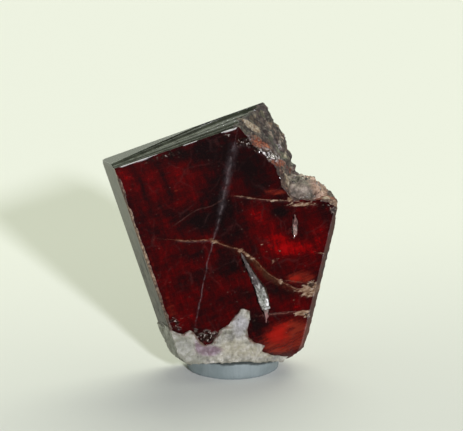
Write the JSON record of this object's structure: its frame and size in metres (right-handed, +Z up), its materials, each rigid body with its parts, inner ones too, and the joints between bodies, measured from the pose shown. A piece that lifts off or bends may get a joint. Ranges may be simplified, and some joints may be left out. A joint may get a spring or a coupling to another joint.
{
  "type": "tantalite ore specimen",
  "caption": "Thumbnail mineral specimen: a thick, dark red tabular tantalite crystal with a broken shoulder on a white albite foot, pressed upright into a lump of putty.",
  "frame": {"origin": "centre of the whole specimen's footprint box, on the surface that the putty stands on", "axes": "+Z up, +X to the right and -Y towards the viewer when the large flat crystal face is looked at"},
  "size_m": [0.0224, 0.0094, 0.0258],
  "materials": {
    "tantalite": "glossy dark red crystal, nearly black, with a submetallic lustre at low angles",
    "albite": "sugary white and grey albite with a violet lepidolite patch",
    "matrix_crust": "rough grey-brown matrix",
    "mica": "pale pearly mica in thin plates",
    "putty": "matte grey-blue mineral putty"
  },
  "bodies": {
    "root": {"tantalite_crystal": "tantalite", "albite_foot": "albite", "shoulder_crust": "matrix_crust", "mica_blade_long": "mica", "mica_blade_short": "mica", "putty_mount": "putty"}
  },
  "joints": []
}
